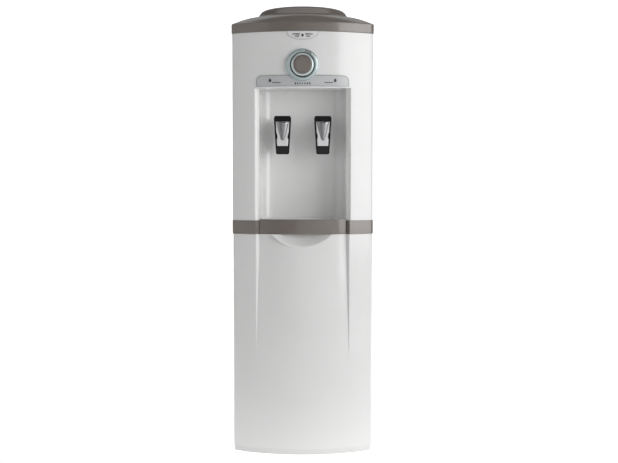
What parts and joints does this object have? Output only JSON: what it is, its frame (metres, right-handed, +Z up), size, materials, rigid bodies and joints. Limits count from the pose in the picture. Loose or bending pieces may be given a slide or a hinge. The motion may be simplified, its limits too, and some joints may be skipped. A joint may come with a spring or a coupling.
{
  "type": "water dispenser",
  "caption": "Floor-standing bottled water dispenser with a tall white column, a taupe top cover and band, push-lever taps in a niche, a thermostat dial and a pull-out drip tray.",
  "frame": {"origin": "on the floor, under the middle of the footprint", "axes": "+Z up; the front with the taps faces -Y; +X is to the right seen from the front"},
  "size_m": [0.304, 0.32, 0.964],
  "materials": {
    "cover_plastic": "moulded taupe plastic, soft gloss",
    "band_plastic": "moulded taupe plastic, satin",
    "white_plastic": "glossy white moulded plastic",
    "liner_plastic": "glossy white moulded plastic",
    "white_steel": "white powder-coated sheet steel",
    "pan_plastic": "light grey moulded plastic",
    "natural_plastic": "natural food-grade plastic",
    "tap_plastic": "light grey moulded plastic",
    "strip_plastic": "silver-grey film on plastic",
    "print_ink": "dark printed ink",
    "badge_metal": "plain satin metal badge",
    "bezel_metal": "pale satin chrome",
    "knob_metal": "satin metal-look knob",
    "insert_metal": "brushed silver insert",
    "black_plastic": "black moulded plastic",
    "pad_rubber": "dark ribbed rubber pad",
    "rubber": "black rubber",
    "spring_steel": "bright steel",
    "zinc_steel": "zinc-coated sheet steel",
    "tank_steel": "stainless steel",
    "copper_tube": "drawn copper tube",
    "foam": "expanded polystyrene foam",
    "hose_silicone": "milky silicone hose",
    "black_steel": "black enamelled steel"
  },
  "bodies": {
    "root": {"top_cover": "cover_plastic", "upper_front_panel": "white_plastic", "niche_liner": "liner_plastic", "badge_plate": "badge_metal", "control_strip": "strip_plastic", "strip_marks": "print_ink", "dial_bezel": "bezel_metal", "dial_mark": "band_plastic", "dial_base": "black_plastic", "thermostat": "zinc_steel", "thermostat_bulb": "copper_tube", "tap_body_left": "tap_plastic", "tap_body_right": "tap_plastic", "tap_spring_left": "spring_steel", "tap_spring_right": "spring_steel", "tap_caps": "tap_plastic", "tap_pins": "spring_steel", "tap_washers": "rubber", "tap_nuts": "natural_plastic", "mid_band": "band_plastic", "tray_shelf": "zinc_steel", "lower_front_panel": "white_plastic", "base_pan": "pan_plastic", "rubber_feet": "rubber", "side_panel_left": "white_steel", "side_panel_right": "white_steel", "rear_panel": "zinc_steel", "rear_screws": "spring_steel", "power_inlet": "black_plastic", "cold_tank": "tank_steel", "feed_chamber": "natural_plastic", "evaporator_coil": "copper_tube", "insulation_front": "foam", "insulation_rear": "foam", "tank_shelf": "zinc_steel", "cold_hose": "hose_silicone", "ambient_hose": "hose_silicone", "compressor": "black_steel", "compressor_grommets": "rubber", "compressor_bolts": "spring_steel", "relay_box": "black_plastic", "suction_tube": "copper_tube", "discharge_tube": "copper_tube", "capillary_tube": "copper_tube", "condenser": "black_steel", "condenser_standoffs": "black_plastic", "filter_drier": "copper_tube"},
    "lever_left": {"tap_lever_left": "black_plastic", "lever_insert_left": "insert_metal", "lever_pad_left": "pad_rubber"},
    "lever_right": {"tap_lever_right": "black_plastic", "lever_insert_right": "insert_metal", "lever_pad_right": "pad_rubber"},
    "plunger_left": {"tap_plunger_left": "natural_plastic"},
    "plunger_right": {"tap_plunger_right": "natural_plastic"},
    "knob": {"thermostat_knob": "knob_metal", "knob_cap": "band_plastic"},
    "tray": {"drip_tray": "band_plastic"},
    "grille": {"drip_grille": "band_plastic"},
    "funnel": {"bottle_funnel": "natural_plastic"}
  },
  "joints": [
    {"name": "lever_push_left", "type": "hinge", "parent": "root", "child": "lever_left", "pos_m": [-0.043, -0.0905, 0.712], "axis": [1, 0, 0], "range_deg": [0, 14], "stiffness_Nm_per_rad": 0.15, "springref_deg": -2.86},
    {"name": "plunger_lift_left", "type": "slide", "parent": "root", "child": "plunger_left", "axis": [0, 0, 1], "range_m": [0, 0.00483], "deforming": ["tap_spring_left"]},
    {"name": "lever_push_right", "type": "hinge", "parent": "root", "child": "lever_right", "pos_m": [0.043, -0.0905, 0.712], "axis": [1, 0, 0], "range_deg": [0, 14], "stiffness_Nm_per_rad": 0.15, "springref_deg": -2.86},
    {"name": "plunger_lift_right", "type": "slide", "parent": "root", "child": "plunger_right", "axis": [0, 0, 1], "range_m": [0, 0.00483], "deforming": ["tap_spring_right"]},
    {"name": "knob_turn", "type": "hinge", "parent": "root", "child": "knob", "pos_m": [0, -0.15, 0.833], "axis": [0, 1, 0], "range_deg": [0, 270]},
    {"name": "tray_pull", "type": "slide", "parent": "root", "child": "tray", "axis": [0, -1, 0], "range_m": [0, 0.1]},
    {"name": "grille_lift", "type": "slide", "parent": "tray", "child": "grille", "axis": [0, 0, 1], "range_m": [0, 0.06]},
    {"name": "funnel_lift", "type": "slide", "parent": "root", "child": "funnel", "axis": [0, 0, 1], "range_m": [0, 0.1]}
  ],
  "couplings": [
    {"joint": "lever_push_left", "follows": "plunger_lift_left", "rad_per_m": 50.5},
    {"joint": "lever_push_right", "follows": "plunger_lift_right", "rad_per_m": 50.5}
  ]
}
